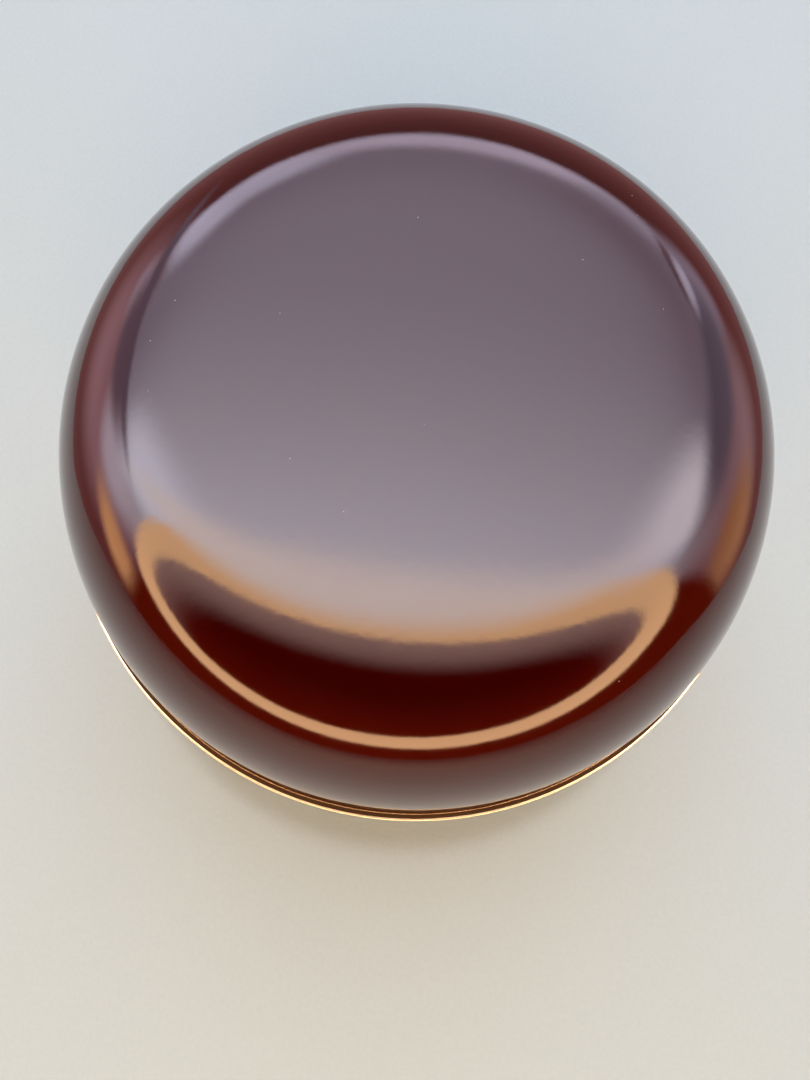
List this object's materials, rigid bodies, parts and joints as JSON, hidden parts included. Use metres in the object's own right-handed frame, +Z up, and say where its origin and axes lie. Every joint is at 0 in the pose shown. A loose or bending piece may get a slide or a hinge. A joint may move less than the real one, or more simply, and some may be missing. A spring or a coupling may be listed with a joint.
{
  "type": "go stone bowl",
  "caption": "Round lacquered bowl on a low foot, with a deep, round-shouldered lid that lifts off; holds the stones of a board game.",
  "frame": {"origin": "centre of the foot's underside, on the surface the bowl stands on", "axes": "+Z up along the axis that every piece is turned about; X and Y are any two directions across it"},
  "size_m": [0.1454, 0.1454, 0.0984],
  "materials": {
    "lacquer": "turned wood under deep, see-through red-brown lacquer, polished to a mirror gloss",
    "lining": "black lacquer over cloth and wood, soft gloss",
    "gilt": "polished gilt metal; the flat of the ledge is under dark brown lacquer",
    "foot_lacquer": "dark brown lacquer, rubbed to a satin wear on the face that meets the table"
  },
  "bodies": {
    "bowl": {"bowl_shell": "lacquer", "bowl_lining": "lining", "bowl_collar": "lining", "bowl_rim": "gilt", "foot_ring": "foot_lacquer"},
    "lid": {"lid_shell": "lacquer", "lid_lining": "lining", "lid_rim": "gilt"}
  },
  "joints": [
    {"name": "lid_lift", "type": "slide", "parent": "bowl", "child": "lid", "axis": [0, 0, 1], "range_m": [0, 0.09]}
  ]
}
